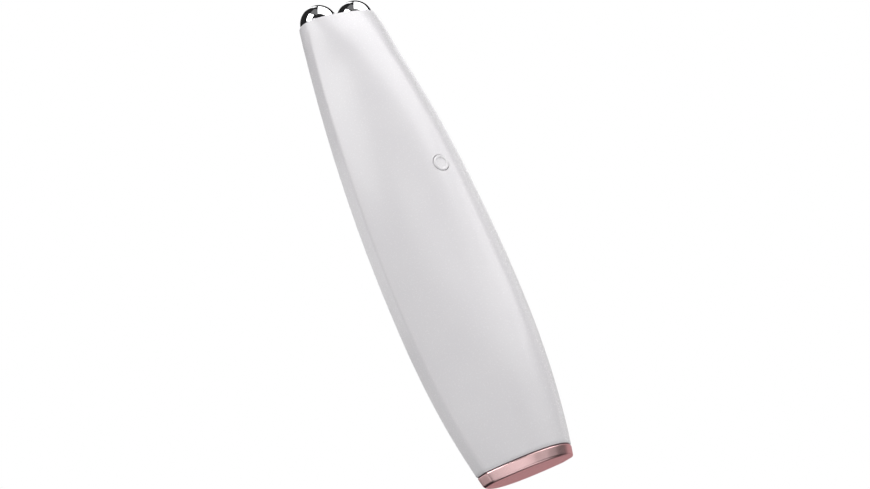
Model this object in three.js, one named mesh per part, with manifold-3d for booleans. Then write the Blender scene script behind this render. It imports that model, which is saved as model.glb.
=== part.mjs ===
// Microcurrent face-lift pen: a slim spindle body with two chrome balls half sunk in its upper mouth,
// a ringed push button on the front and a rose-gold cap on its lower end.
// Millimetres. Z runs up the pen from the cap's flat face, X across it, and the front faces -Y.
import * as THREE from 'three';
import { mergeVertices } from 'three/addons/utils/BufferGeometryUtils.js';
import Module from 'manifold-3d';

const wasm = await Module();
wasm.setup();

// Body outline: half width at the side band's edge, and depth from the middle plane
const bodyLength = 130;
const baseHalfWidth = 13.25;
const bellyHalfWidth = 19.05;
const widestHeight = 51.5;
const lowerWidthPower = 2.5;
const upperWidthPower = 1.9;
const baseDepth = 10.25;
const frontBellyDepth = 17.3;
const backBellyDepth = 15.6;
const deepestHeight = 54;
const lowerDepthPower = 2.4;
const upperDepthPower = 3;
const sideBand = 4.2;
const mouthRounding = 17;
const mouthDip = 0.88;

// Balls, the mouth round them, and their running gear
const ballRadius = 5.1;
const ballGap = 1.5;
const ballDrop = 0.14;
const ballClearance = 0.25;
const mouthSideRoom = 0.15;
const mouthDepthRoom = 1.9;
const axleRadius = 1;
const axleClearance = 0.05;
const axleFootLength = 0.6;
const axleHeadRadius = 1.5;
const axleHeadHeight = 1;
const bushRadius = 1.95;
const bushHeight = 3;
const bushRecess = 0.4;
const runningClearance = 0.1;

// Cradle under the balls, and its seal
const cradleHeight = 8.5;
const cradleDrop = 2.5;
const sealWidth = 1.1;
const sealHeight = 1.4;
const sealRise = 2;
const sealRoom = 0.2;

// Shells
const wall = 1.5;
const seamGap = 0.1;
const lipLength = 1.4;
const lipThickness = 0.9;
const lipClearance = 0.2;
const lipLowMargin = 2;
const lipHighMargin = 6;
const fitClearance = 0.3;
const faceGap = 0.05;
const restGap = 0.1;

// End cap, gasket and base plug
const capHeight = 2.8;
const capFloor = 1.2;
const capEdgeRadius = 0.55;
const capChamfer = 0.2;
const gasketThickness = 0.3;
const gasketInset = 0.4;
const gasketWidth = 1;
const plugHeight = 4.6;
const plugFloor = 2.4;
const plugRim = 1.4;
const plugClearance = 0.15;

// Push button and switch
const buttonDrop = 51.07;
const buttonRadius = 2.15;
const buttonProud = 0.15;
const buttonTravel = 0.3;
const buttonClearance = 0.15;
const ringWidth = 0.75;
const discRecess = 0.25;
const flangeWidth = 0.75;
const flangeThickness = 0.7;
const flangeClearance = 0.9;
const stemRadius = 1.2;
const stemLength = 1.67;
const guideWidth = 1.2;
const guideDepth = 1.6;
const switchSize = 6;
const switchBodyDepth = 3.2;
const plungerRadius = 1.6;
const plungerLength = 2;
const plungerProud = 0.5;
const plungerClearance = 0.15;
const wellRoom = 0.2;
const switchGap = 0.12;

// Circuit board: its ends and parts are placed by their distance from the button.
const boardHalfWidth = 7.8;
const boardBelowButton = 41;
const boardAboveButton = 19;
const boardThickness = 1;
const standoffHeight = 2.9;
const standoffRadius = 1.8;
const chipSize = 7;
const chipThickness = 1.1;
const chipDrop = 27;
const coilRadius = 3;
const coilHeight = 2.6;
const coilDrop = 15;
const coreRadius = 1.2;
const coreDepth = 0.6;
const lampSize = 1.6;
const lampThickness = 0.8;
const lampDrop = 6;
const capacitorWidth = 3.2;
const capacitorLength = 5.1;
const capacitorThickness = 1.8;
const capacitorRise = 8;

// Chassis
const chassisThickness = 1.6;
const chassisGap = 0.5;
const railThickness = 1.2;
const railDepth = 4.6;
const endStop = 1.5;
const footThickness = 2.6;
const footDepth = 14;
const footHalfWidth = 8.5;
const windowHalfWidth = 4.5;
const windowLength = 26;
const windowMargin = 3;
const earHalfWidth = 3;
const springNotch = 2.4;

// Screws
const screwRadius = 0.75;
const screwHeadRadius = 1.6;
const screwHeadHeight = 1;
const driveRadius = 0.72;
const driveDepth = 0.6;
const pilotClearance = 0.12;
const headClearance = 0.3;
const screwEndMargin = 0.6;
const bossRadius = 2.3;
const screwSideRoom = 0.6;
const chassisScrewLow = 29;
const chassisScrewDrop = 28;
const chassisScrewLength = 5;
const boardScrewDrop = 34;
const boardScrewRise = 14;
const boardScrewLength = 3.6;
const headScrewDrops = [8, 3.5];
const headScrewLength = 4.6;
const baseScrewX = 5.2;
const baseScrewSeat = 1.4;
const baseScrewLength = 6;
const baseBossRadius = 2.9;

// Battery: its cell fills the room between the chassis and the back.
const cellRoom = 2.1;
const cellLength = 49;
const cellLow = 27;
const cellGap = 0.4;
const cellEndSpace = 3;
const cellButtonRadius = 2.6;
const cellButtonHeight = 1.2;
const tabThickness = 0.4;
const tabHalfWidth = 2;
const tabSetback = 0.5;
const padThickness = 0.8;
const padHalfWidth = 2.4;
const padLowMargin = 2;
const padHighMargin = 4;

// Charging socket, its board and ribbon
const socketWidth = 8.9;
const socketThickness = 3.2;
const socketLength = 7.3;
const socketWall = 0.3;
const socketRecess = 1;
const socketBackWall = 0.6;
const tongueSideRoom = 0.85;
const tongueThickness = 0.7;
const tongueSetback = 0.7;
const portClearance = 0.3;
const chargeBoardHalfWidth = 5;
const chargeBoardDepth = 6.2;
const chargeBoardThickness = 1;
const chargeBoardMargin = 1;
const ribbonHalfWidth = 2;
const ribbonThickness = 0.3;
const ribbonLap = 0.8;
const ribbonBend = 1.5;
const slotRoom = 0.5;
const slotHeight = 4;

// Contact springs and leads
const springHalfWidth = 1.5;
const springThickness = 0.4;
const springRise = 9;
const springOverhang = 0.9;
const springBend = 1.2;
const leadRadius = 0.5;
const leadRoom = 0.15;
const leadJoint = 3;
const leadRise = 6;
const leadEase = 0.2;
const leadNotchDrop = 1.7;
const headLeadX = 4.6;
const cellLeadX = 3.4;

// How far a cut reaches past what it cuts
const overcut = 1;
const aboveMouth = 4;
const beyond = 40;

// Fineness of the faceted surfaces
const arcSteps = 12;
const ringStep = 6.5;
const roundSteps = 24;
const smallSteps = 12;
const leadSteps = 10;
const bendSteps = 4;

const finishes = {
  shell: { color: 0xe4e1e4, roughness: 0.32, metalness: 0 },
  roseGold: { color: 0xd9a5a5, roughness: 0.25, metalness: 1 },
  chrome: { color: 0xe6e6e8, roughness: 0.05, metalness: 1 },
  darkRubber: { color: 0x4a3f42, roughness: 0.8, metalness: 0 },
  greyPlastic: { color: 0xb9bbc0, roughness: 0.5, metalness: 0 },
  board: { color: 0x1f5a3c, roughness: 0.45, metalness: 0 },
  brass: { color: 0xc9a55a, roughness: 0.3, metalness: 1 },
  steel: { color: 0xb4b6ba, roughness: 0.3, metalness: 1 },
  blackPlastic: { color: 0x26272b, roughness: 0.5, metalness: 0 },
  cellWrap: { color: 0x3f7fb5, roughness: 0.4, metalness: 0 },
  redLead: { color: 0xb32a2a, roughness: 0.5, metalness: 0 },
  blackLead: { color: 0x1d1d1f, roughness: 0.5, metalness: 0 },
  foam: { color: 0x6b6d70, roughness: 0.9, metalness: 0 },
  lens: { color: 0xf2f4f0, roughness: 0.2, metalness: 0 },
  copper: { color: 0xb87348, roughness: 0.4, metalness: 1 },
  amberFilm: { color: 0xc98a3a, roughness: 0.4, metalness: 0 },
};

// The mouth fits round the two balls.
const ballSpacing = 2 * ballRadius + ballGap;
const mouthHalfWidth = ballSpacing / 2 + ballRadius + mouthSideRoom;
const mouthDepth = ballRadius + mouthDepthRoom;

// Turns a closed three.js geometry into a solid: shared corners are merged and slivers on an axis dropped.
function toSolid(geometry) {
  const bare = new THREE.BufferGeometry();
  bare.setAttribute('position', geometry.getAttribute('position').clone());
  if (geometry.index) bare.setIndex(geometry.index.clone());
  const merged = mergeVertices(bare, 1e-5);
  const corners = merged.index.array;
  const kept = [];
  for (let i = 0; i < corners.length; i += 3) {
    const [a, b, c] = [corners[i], corners[i + 1], corners[i + 2]];
    if (a !== b && b !== c && c !== a) kept.push(a, b, c);
  }
  return new wasm.Manifold(new wasm.Mesh({
    numProp: 3,
    vertProperties: Float32Array.from(merged.getAttribute('position').array),
    triVerts: Uint32Array.from(kept),
  }));
}

function join(first, ...others) {
  return others.reduce((whole, piece) => whole.add(piece), first);
}

function cut(first, ...others) {
  return others.reduce((whole, piece) => whole.subtract(piece), first);
}

// A block between two opposite corners
function block(low, high) {
  const size = high.map((value, axis) => value - low[axis]);
  const geometry = new THREE.BoxGeometry(...size);
  geometry.translate(...low.map((value, axis) => value + size[axis] / 2));
  return toSolid(geometry);
}

// A turned piece from (radius, height) points, standing on Z
function turned(profile, steps = smallSteps) {
  const points = profile.map(([radius, height]) => new THREE.Vector2(radius, height));
  const geometry = new THREE.LatheGeometry(points, steps);
  geometry.rotateX(Math.PI / 2);
  return geometry;
}

// A round rod on Z between two heights
function rod(radius, low, high, x = 0, y = 0, steps = smallSteps) {
  const geometry = turned([[0, low], [radius, low], [radius, high], [0, high]], steps);
  geometry.translate(x, y, 0);
  return toSolid(geometry);
}

// A round rod along Y between two depths, measured towards the front
function crossRod(radius, back, front, x, height, steps = smallSteps) {
  const geometry = turned([[0, back], [radius, back], [radius, front], [0, front]], steps);
  geometry.rotateX(Math.PI / 2);
  geometry.translate(x, 0, height);
  return toSolid(geometry);
}

// A size along the pen: it swells from low at the base to middle, then falls to high at the mouth.
function swell(height, low, middle, high, middleHeight, lowerPower, upperPower) {
  if (height < middleHeight) {
    return middle - (middle - low) * ((middleHeight - height) / middleHeight) ** lowerPower;
  }
  return middle - (middle - high) * ((height - middleHeight) / (bodyLength - middleHeight)) ** upperPower;
}

function halfWidth(height) {
  return swell(height, baseHalfWidth, bellyHalfWidth, mouthHalfWidth,
    widestHeight, lowerWidthPower, upperWidthPower);
}

function frontDepth(height) {
  return swell(height, baseDepth, frontBellyDepth, mouthDepth,
    deepestHeight, lowerDepthPower, upperDepthPower);
}

function backDepth(height) {
  return swell(height, baseDepth, backBellyDepth, mouthDepth,
    deepestHeight, lowerDepthPower, upperDepthPower);
}

// How far the section has turned from a lens with flat side bands to an ellipse, from 0 to 1
function roundness(height) {
  const share = THREE.MathUtils.clamp((height - bodyLength + mouthRounding) / mouthRounding, 0, 1);
  return share * share * (3 - 2 * share);
}

// One section as points [x, y], anticlockwise from the left edge of the front.
// Front and back are parabolas between the band edges, and the ellipse passes through the same edges.
function section(height, inset) {
  const half = halfWidth(height) - inset;
  const edge = sideBand / 2;
  const round = roundness(height);
  const points = [];
  for (const facing of [-1, 1]) {
    const depth = (facing < 0 ? frontDepth(height) : backDepth(height)) - inset;
    const edgeTurn = Math.acos(edge / depth);
    const reach = half / Math.sin(edgeTurn);
    for (let step = 0; step <= arcSteps; step += 1) {
      const across = -facing * (2 * step / arcSteps - 1);
      const lensDepth = edge + (depth - edge) * (1 - across * across);
      const x = (1 - round) * half * across + round * reach * Math.sin(across * edgeTurn);
      const y = (1 - round) * lensDepth + round * depth * Math.cos(across * edgeTurn);
      points.push([x, facing * y]);
    }
    points.push([-facing * ((1 - round) * half + round * reach), 0]);
  }
  return points;
}

// A closed loft through sections, each given by its height and inset. drop lowers a ring's points.
function loft(stations, drop = () => 0) {
  const rings = stations.map(({ height, inset }) => {
    const outline = section(height, inset);
    return outline.map(([x, y]) => [x, y, height - drop(height, x)]);
  });
  const count = rings[0].length;
  const positions = rings.flat(2);
  const faces = [];
  for (let ring = 0; ring + 1 < rings.length; ring += 1) {
    for (let point = 0; point < count; point += 1) {
      const next = (point + 1) % count;
      const [a, b] = [ring * count + point, ring * count + next];
      faces.push(a, b, b + count, a, b + count, a + count);
    }
  }
  const top = (rings.length - 1) * count;
  const [lowest, highest] = [stations[0].height, stations.at(-1).height];
  positions.push(0, 0, lowest, 0, 0, highest - drop(highest, 0));
  const centre = rings.length * count;
  for (let point = 0; point < count; point += 1) {
    const next = (point + 1) % count;
    faces.push(centre, next, point, centre + 1, top + point, top + next);
  }
  const geometry = new THREE.BufferGeometry();
  geometry.setAttribute('position', new THREE.Float32BufferAttribute(positions, 3));
  geometry.setIndex(faces);
  return toSolid(geometry);
}

// The body's form between two heights, drawn in by an inset
function form(inset, low, high, drop) {
  const steps = Math.max(1, Math.ceil((high - low) / ringStep));
  const stations = [];
  for (let step = 0; step <= steps; step += 1) {
    stations.push({ height: low + (high - low) * step / steps, inset });
  }
  return loft(stations, drop);
}

// Heights, from the cap upwards and from the mouth downwards
const shellBase = capHeight + gasketThickness;
const chassisLow = shellBase + plugHeight + fitClearance;
const footTop = chassisLow + footThickness;
const ballHeight = bodyLength - ballDrop;
const cradleTop = bodyLength - cradleDrop;
const cradleLow = cradleTop - cradleHeight;
const axleFoot = cradleLow - axleFootLength;
const buttonHeight = bodyLength - buttonDrop;
const boardLow = buttonHeight - boardBelowButton;
const boardHigh = buttonHeight + boardAboveButton;
const boardScrewHeights = [buttonHeight - boardScrewDrop, buttonHeight + boardScrewRise];
const headScrewHeights = headScrewDrops.map((drop) => cradleLow - drop);

// Depths, from the button inwards to the cell
const seam = sideBand / 2;
const inside = wall + fitClearance;
const buttonFront = frontDepth(buttonHeight) + buttonProud;
const flangeFront = frontDepth(buttonHeight) - wall - flangeClearance;
const buttonBack = flangeFront - flangeThickness - stemLength;
const plungerFront = buttonBack - switchGap;
const switchBack = plungerFront - plungerProud - switchBodyDepth;
const boardFront = switchBack - faceGap;
const boardBack = boardFront - boardThickness;
const chassisFront = boardBack - standoffHeight;
const chassisBack = chassisFront - chassisThickness;
const cellRadius = (backBellyDepth - wall - cellRoom + chassisBack - padThickness) / 2;
const cellMiddle = cellRadius + padThickness - chassisBack;
const cellTop = cellLow + cellLength;
const cellTabFront = -chassisBack + tabSetback;
const plusNotch = cellTop + leadNotchDrop;
const minusNotch = cellLow - leadNotchDrop;
const railInside = cellRadius + cellGap;
const railOutside = railInside + railThickness;

// Charging socket, on the chassis's foot and close under the back
const chargeBoardLow = footTop + restGap;
const socketLow = chargeBoardLow + chargeBoardThickness + restGap;
const socketMiddle = socketLow + socketThickness / 2;
const socketMouth = backDepth(socketMiddle) - socketRecess;
const socketBack = socketMouth - socketLength;
const chargeBoardStart = socketBack - chargeBoardMargin;

const bothSides = [-1, 1];
const pilotRadius = screwRadius + pilotClearance;
const chassisScrewX = Math.max(boardHalfWidth + bossRadius, railOutside + screwHeadRadius) + screwSideRoom;
const chassisScrewPlaces = [chassisScrewLow, cradleLow - chassisScrewDrop].flatMap(
  (height) => bothSides.map((side) => [side * chassisScrewX, height]));

// Lowers the mouth's rim in the middle of the front and back
function rimDrop(height, x) {
  if (height < bodyLength) return 0;
  const reach = mouthHalfWidth / Math.sin(Math.acos(sideBand / 2 / mouthDepth));
  return mouthDip * (1 - (x / reach) ** 2);
}

function ballSpaces() {
  const radius = ballRadius + ballClearance;
  return bothSides.map((side) => {
    const geometry = new THREE.SphereGeometry(radius, roundSteps, roundSteps / 2);
    geometry.rotateX(Math.PI / 2);
    geometry.translate(side * ballSpacing / 2, 0, ballHeight);
    return toSolid(geometry);
  });
}

// The hollow shell of the whole body, open at both ends
function bodyShell() {
  const outside = form(0, shellBase, bodyLength, rimDrop);
  const hollow = form(wall, 0, bodyLength + aboveMouth);
  return cut(outside, hollow, ...ballSpaces());
}

function frontShell(shell) {
  const frontHalf = block([-beyond, -beyond, 0], [beyond, seam - seamGap / 2, bodyLength + beyond]);
  const within = form(wall / 2, shellBase, cradleLow);
  const screwEnd = chassisBack + chassisScrewLength + screwEndMargin;
  const bosses = chassisScrewPlaces.map(([x, height]) => (
    crossRod(bossRadius, chassisFront + restGap, beyond, x, height).intersect(within)));
  const pilots = chassisScrewPlaces.map(([x, height]) => (
    crossRod(pilotRadius, 0, screwEnd, x, height)));
  const holeRadius = buttonRadius + buttonClearance;
  const buttonHole = crossRod(holeRadius, chassisFront, beyond, 0, buttonHeight, roundSteps);
  return cut(join(shell.intersect(frontHalf), ...bosses), ...pilots, buttonHole);
}

// A lip on the rear shell's edge reaches inside the front shell.
function rearLip() {
  const [low, high] = [shellBase + plugHeight + lipLowMargin, cradleLow - lipHighMargin];
  const hollow = form(wall + lipClearance + lipThickness, 0, bodyLength);
  const forward = block([-beyond, seam - lipLength, low], [beyond, seam + lipLength, high]);
  const rooted = block([-beyond, seam + seamGap, low], [beyond, seam + lipLength, high]);
  const free = form(wall + lipClearance, low, high).intersect(forward);
  const root = form(wall - lipClearance, low, high).intersect(rooted);
  return cut(join(free, root), hollow);
}

// A stadium-shaped bar along Y, used for the charging port
function portBar(width, thickness, back, front) {
  const radius = thickness / 2;
  const straight = width / 2 - radius;
  const outline = new THREE.Shape();
  outline.moveTo(-straight, -radius);
  outline.lineTo(straight, -radius);
  outline.absarc(straight, 0, radius, -Math.PI / 2, Math.PI / 2, false);
  outline.lineTo(-straight, radius);
  outline.absarc(-straight, 0, radius, Math.PI / 2, 3 * Math.PI / 2, false);
  const geometry = new THREE.ExtrudeGeometry(outline, {
    depth: front - back, bevelEnabled: false, curveSegments: smallSteps / 2,
  });
  geometry.rotateX(Math.PI / 2);
  geometry.translate(0, front, socketMiddle);
  return toSolid(geometry);
}

function rearShell(shell) {
  const rearHalf = block([-beyond, seam + seamGap / 2, 0], [beyond, beyond, bodyLength + beyond]);
  const port = portBar(socketWidth + 2 * portClearance, socketThickness + 2 * portClearance, seam, beyond);
  return cut(join(shell.intersect(rearHalf), rearLip()), port);
}

function endCap() {
  const corner = capEdgeRadius * (1 - Math.SQRT1_2);
  const outside = loft([
    { height: 0, inset: capEdgeRadius },
    { height: corner, inset: corner },
    { height: capEdgeRadius, inset: 0 },
    { height: capHeight - capChamfer, inset: 0 },
    { height: capHeight, inset: capChamfer },
  ]);
  return cut(outside, form(inside, capFloor, capHeight + overcut));
}

function capGasket() {
  const outside = form(gasketInset, capHeight, shellBase);
  return cut(outside, form(gasketInset + gasketWidth, capHeight - overcut, shellBase + overcut));
}

// A bulkhead in the shells' lower end. A step on it carries the cap, and its bosses the chassis.
function basePlug() {
  const top = shellBase + plugHeight;
  const collar = form(wall + plugClearance, shellBase + restGap, top);
  const step = form(inside + fitClearance, capFloor + fitClearance, shellBase + plugFloor / 2);
  const hollow = form(wall + plugRim, shellBase + plugFloor, top + overcut);
  const holes = bothSides.flatMap((side) => [
    rod(pilotRadius, 0, beyond, side * baseScrewX),
    rod(screwHeadRadius + headClearance, 0, shellBase + baseScrewSeat, side * baseScrewX),
  ]);
  const bosses = bothSides.map((side) => (
    rod(baseBossRadius, shellBase + plugFloor / 2, top, side * baseScrewX)));
  return cut(join(cut(join(collar, step), hollow), ...bosses), ...holes);
}

// The seat of both balls. Its tongue is screwed to the chassis.
function headCradle() {
  const dish = form(inside, cradleLow, cradleTop);
  const grooveLow = cradleLow + sealRise;
  const groove = cut(
    form(0, grooveLow, grooveLow + sealHeight + sealRoom),
    form(inside + sealWidth, cradleLow, cradleTop),
  );
  const tongueFront = chassisBack + headScrewLength + screwEndMargin;
  const tongueLow = headScrewHeights[0] - bossRadius;
  const tongue = block(
    [-bossRadius, -tongueFront, tongueLow],
    [bossRadius, -chassisFront - restGap, cradleLow + overcut],
  ).intersect(form(inside, tongueLow, cradleTop));
  const axleHoles = bothSides.map((side) => (
    rod(axleRadius + axleClearance, 0, bodyLength, side * ballSpacing / 2, 0, roundSteps)));
  const pilots = headScrewHeights.map((height) => crossRod(pilotRadius, 0, beyond, 0, height));
  return cut(join(cut(dish, groove), tongue), ...ballSpaces(), ...axleHoles, ...pilots);
}

function headSeal() {
  const low = cradleLow + sealRise + restGap;
  const outside = form(wall + restGap, low, low + sealHeight);
  return cut(outside, form(inside + sealWidth - sealRoom, low - overcut, low + sealHeight + overcut));
}

// Ball with a blind bore from below, which holds the bush and clears the axle's head
const bushLow = ballHeight - ballRadius + bushRecess;
const axleHeadLow = bushLow + bushHeight + runningClearance;
const boreTop = axleHeadLow + axleHeadHeight + 2 * runningClearance;

function ball() {
  const geometry = new THREE.SphereGeometry(ballRadius, roundSteps, roundSteps / 2);
  geometry.rotateX(Math.PI / 2);
  geometry.translate(0, 0, ballHeight);
  const bore = rod(bushRadius + runningClearance, 0, boreTop, 0, 0, roundSteps);
  return cut(toSolid(geometry), bore);
}

function bush() {
  const inner = axleRadius + runningClearance;
  return toSolid(turned([
    [inner, bushLow],
    [bushRadius, bushLow],
    [bushRadius, bushLow + bushHeight],
    [inner, bushLow + bushHeight],
    [inner, bushLow],
  ], roundSteps));
}

function axle() {
  return toSolid(turned([
    [0, axleFoot],
    [axleRadius, axleFoot],
    [axleRadius, axleHeadLow],
    [axleHeadRadius, axleHeadLow],
    [axleHeadRadius, axleHeadLow + axleHeadHeight],
    [0, axleHeadLow + axleHeadHeight],
  ], roundSteps));
}

// A strip of sheet that follows points (y, z) in the pen's middle plane, extruded across X
function strip(path, thickness, half) {
  const curve = path.map(([y, z]) => new THREE.Vector2(y, z));
  const sides = curve.map((point, index) => {
    const before = curve[Math.max(index - 1, 0)];
    const after = curve[Math.min(index + 1, curve.length - 1)];
    const across = after.clone().sub(before).normalize().rotateAround(new THREE.Vector2(), Math.PI / 2);
    return across.multiplyScalar(thickness / 2);
  });
  const outline = new THREE.Shape([
    ...curve.map((point, index) => point.clone().sub(sides[index])),
    ...curve.map((point, index) => point.clone().add(sides[index])).reverse(),
  ]);
  const geometry = new THREE.ExtrudeGeometry(outline, { depth: 2 * half, bevelEnabled: false });
  geometry.rotateY(Math.PI / 2);
  geometry.rotateX(Math.PI / 2);
  geometry.translate(-half, 0, 0);
  return toSolid(geometry);
}

// Points round a quarter bend, from one direction to another, about a centre in the (y, z) plane
function bend(centre, radius, from, to) {
  return Array.from({ length: bendSteps + 1 }, (_, step) => {
    const turn = THREE.MathUtils.degToRad(from + (to - from) * step / bendSteps);
    return [centre[0] + radius * Math.cos(turn), centre[1] + radius * Math.sin(turn)];
  });
}

// A leaf that stands on the chassis and bends over to press on the axle's foot
function contactSpring() {
  const standY = -chassisFront - springThickness / 2 - restGap;
  const top = axleFoot - springThickness / 2 - restGap;
  return strip([
    [standY, top - springRise],
    ...bend([standY + springBend, top - springBend], springBend, 180, 90),
    [springOverhang, top],
  ], springThickness, springHalfWidth);
}

// A plate with rails and stops for the cell, a foot on the base plug and an ear behind the cradle's tongue
function chassis() {
  const envelope = form(wall + chassisGap, chassisLow, cradleLow - fitClearance);
  const plateTop = axleFoot - springNotch;
  const plate = block([-beyond, -chassisFront, chassisLow], [beyond, -chassisBack, plateTop]);
  const ear = block(
    [-earHalfWidth, -chassisFront, plateTop - overcut],
    [earHalfWidth, -chassisBack, cradleLow],
  );
  const foot = block(
    [-footHalfWidth, -chassisFront, chassisLow],
    [footHalfWidth, footDepth - chassisFront, footTop],
  );
  const [rooted, railBack] = [-chassisFront, railDepth - chassisBack];
  const rails = bothSides.map((side) => block(
    [side < 0 ? -railOutside : railInside, rooted, cellLow - cellEndSpace],
    [side < 0 ? -railInside : railOutside, railBack, cellTop + cellEndSpace],
  ));
  const stops = [cellLow - cellEndSpace - endStop, cellTop + cellEndSpace].map((low) => block(
    [-railOutside, rooted, low],
    [railOutside, railBack, low + endStop],
  ));
  const standoffs = boardScrewHeights.map((height) => (
    crossRod(standoffRadius, chassisBack, boardBack - faceGap, 0, height)));
  const screwPlaces = [
    ...chassisScrewPlaces,
    ...headScrewHeights.map((height) => [0, height]),
    ...boardScrewHeights.map((height) => [0, height]),
  ];
  const holes = screwPlaces.map(([x, height]) => crossRod(pilotRadius, 0, beyond, x, height));
  const footHoles = bothSides.map((side) => rod(pilotRadius, 0, footTop + overcut, side * baseScrewX));
  const windowLow = boardScrewHeights[0] + windowMargin;
  const window = block(
    [-windowHalfWidth, -beyond, windowLow],
    [windowHalfWidth, -chassisBack + faceGap, windowLow + windowLength],
  );
  const ribbonSlot = block(
    [-ribbonHalfWidth - slotRoom, -beyond, footTop],
    [ribbonHalfWidth + slotRoom, -chassisBack + faceGap, footTop + slotHeight],
  );
  const notchReach = leadRadius + fitClearance;
  const leadNotches = [plusNotch, minusNotch].map((height) => block(
    [cellLeadX - notchReach, -beyond, height - notchReach],
    [cellLeadX + notchReach, -chassisBack + faceGap, height + notchReach],
  ));
  const whole = join(plate, ear, foot, ...rails, ...stops, ...standoffs).intersect(envelope);
  return cut(whole, ...holes, ...footHoles, window, ribbonSlot, ...leadNotches);
}

// Screw with its head's underside at height 0 and its shank running up
function screw(length) {
  return toSolid(turned([
    [0, -screwHeadHeight + driveDepth],
    [driveRadius, -screwHeadHeight + driveDepth],
    [driveRadius, -screwHeadHeight],
    [screwHeadRadius, -screwHeadHeight],
    [screwHeadRadius, 0],
    [screwRadius, 0],
    [screwRadius, length],
    [0, length],
  ]));
}

function mainBoard() {
  const plate = block([-boardHalfWidth, -boardFront, boardLow], [boardHalfWidth, -boardBack, boardHigh]);
  return cut(plate, ...boardScrewHeights.map((height) => crossRod(pilotRadius, 0, beyond, 0, height)));
}

// A part soldered flat on the board's front, on the pen's middle line
function boardPart(width, tall, thick, height) {
  return block(
    [-width / 2, -boardFront - faceGap - thick, height - tall / 2],
    [width / 2, -boardFront - faceGap, height + tall / 2],
  );
}

function switchBody() {
  const housing = boardPart(switchSize, switchSize, switchBodyDepth, buttonHeight);
  const wellFloor = plungerFront - plungerLength - buttonTravel - wellRoom;
  return cut(housing, crossRod(plungerRadius + plungerClearance, wellFloor, beyond, 0, buttonHeight));
}

function switchPlunger() {
  return crossRod(plungerRadius, plungerFront - plungerLength, plungerFront, 0, buttonHeight);
}

const flangeRadius = buttonRadius + flangeWidth;

// Button with a raised ring round a lower disc, a flange that keeps it in the shell, and a stem
function buttonCap() {
  const discRadius = buttonRadius - ringWidth;
  const bevel = ringWidth / 4;
  const geometry = turned([
    [0, buttonBack],
    [stemRadius, buttonBack],
    [stemRadius, flangeFront - flangeThickness],
    [flangeRadius, flangeFront - flangeThickness],
    [flangeRadius, flangeFront],
    [buttonRadius, flangeFront],
    [buttonRadius, buttonFront - bevel],
    [buttonRadius - bevel, buttonFront],
    [discRadius + bevel, buttonFront],
    [discRadius, buttonFront - discRecess],
    [0, buttonFront - discRecess],
  ], roundSteps);
  geometry.rotateX(Math.PI / 2);
  geometry.translate(0, 0, buttonHeight);
  return toSolid(geometry);
}

// A soft ring inside the shell steers the button's flange.
function buttonGuide() {
  const inner = flangeRadius + buttonClearance;
  const outer = inner + guideWidth;
  const ring = cut(
    crossRod(outer, flangeFront - guideDepth, beyond, 0, buttonHeight, roundSteps),
    crossRod(inner, 0, beyond, 0, buttonHeight, roundSteps),
  );
  const reach = outer + overcut;
  return ring.intersect(form(wall + restGap, buttonHeight - reach, buttonHeight + reach));
}

function coil() {
  const height = buttonHeight - coilDrop;
  const wound = crossRod(coilRadius, boardFront + faceGap, boardFront + coilHeight, 0, height, roundSteps);
  return cut(wound, crossRod(coreRadius, boardFront + coilHeight - coreDepth, beyond, 0, height));
}

function cell() {
  const shoulder = cellTop - cellButtonHeight;
  const geometry = turned([
    [0, cellLow],
    [cellRadius, cellLow],
    [cellRadius, shoulder],
    [cellButtonRadius, shoulder],
    [cellButtonRadius, cellTop],
    [0, cellTop],
  ], roundSteps);
  geometry.translate(0, cellMiddle, 0);
  return toSolid(geometry);
}

// A foil tab across one end of the cell, folded forward to its lead
function cellTab(low) {
  return block(
    [-tabHalfWidth, cellTabFront, low],
    [tabHalfWidth, cellMiddle + cellButtonRadius, low + tabThickness],
  );
}

function cellPad() {
  return block(
    [-padHalfWidth, -chassisBack + faceGap, cellLow + padLowMargin],
    [padHalfWidth, -chassisBack + padThickness - faceGap, cellTop - padHighMargin],
  );
}

function chargeBoard() {
  const top = chargeBoardLow + chargeBoardThickness;
  const plate = block(
    [-chargeBoardHalfWidth, chargeBoardStart, chargeBoardLow],
    [chargeBoardHalfWidth, chargeBoardStart + chargeBoardDepth, top],
  );
  return plate.intersect(form(wall + chassisGap, chargeBoardLow - overcut, top + overcut));
}

function chargeSocket() {
  const outside = portBar(socketWidth, socketThickness, socketBack, socketMouth);
  const mouthWidth = socketWidth - 2 * socketWall;
  const mouthThickness = socketThickness - 2 * socketWall;
  const mouthFloor = socketBack + socketBackWall;
  return cut(outside, portBar(mouthWidth, mouthThickness, mouthFloor, socketMouth + overcut));
}

function socketTongue() {
  const half = socketWidth / 2 - socketWall - tongueSideRoom;
  return block(
    [-half, socketBack + socketBackWall + faceGap, socketMiddle - tongueThickness / 2],
    [half, socketMouth - tongueSetback, socketMiddle + tongueThickness / 2],
  );
}

// A flat ribbon from the charging board, through the chassis and up behind the main board
function chargeRibbon() {
  const level = chargeBoardLow + chargeBoardThickness + restGap + ribbonThickness / 2;
  const behindBoard = -boardBack + restGap + ribbonThickness / 2;
  return strip([
    [chargeBoardStart + ribbonLap, level],
    [chargeBoardStart, level],
    ...bend([behindBoard + ribbonBend, level + ribbonBend], ribbonBend, 270, 180),
    [behindBoard, boardLow + leadJoint],
  ], ribbonThickness, ribbonHalfWidth);
}

// An insulated lead along a smooth curve through points
function lead(points) {
  const path = new THREE.CatmullRomCurve3(points.map((point) => new THREE.Vector3(...point)));
  const round = new THREE.Shape();
  round.absarc(0, 0, leadRadius, 0, 2 * Math.PI, false);
  const geometry = new THREE.ExtrudeGeometry(round, {
    steps: leadSteps, curveSegments: 4, bevelEnabled: false, extrudePath: path,
  });
  return toSolid(geometry);
}

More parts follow.
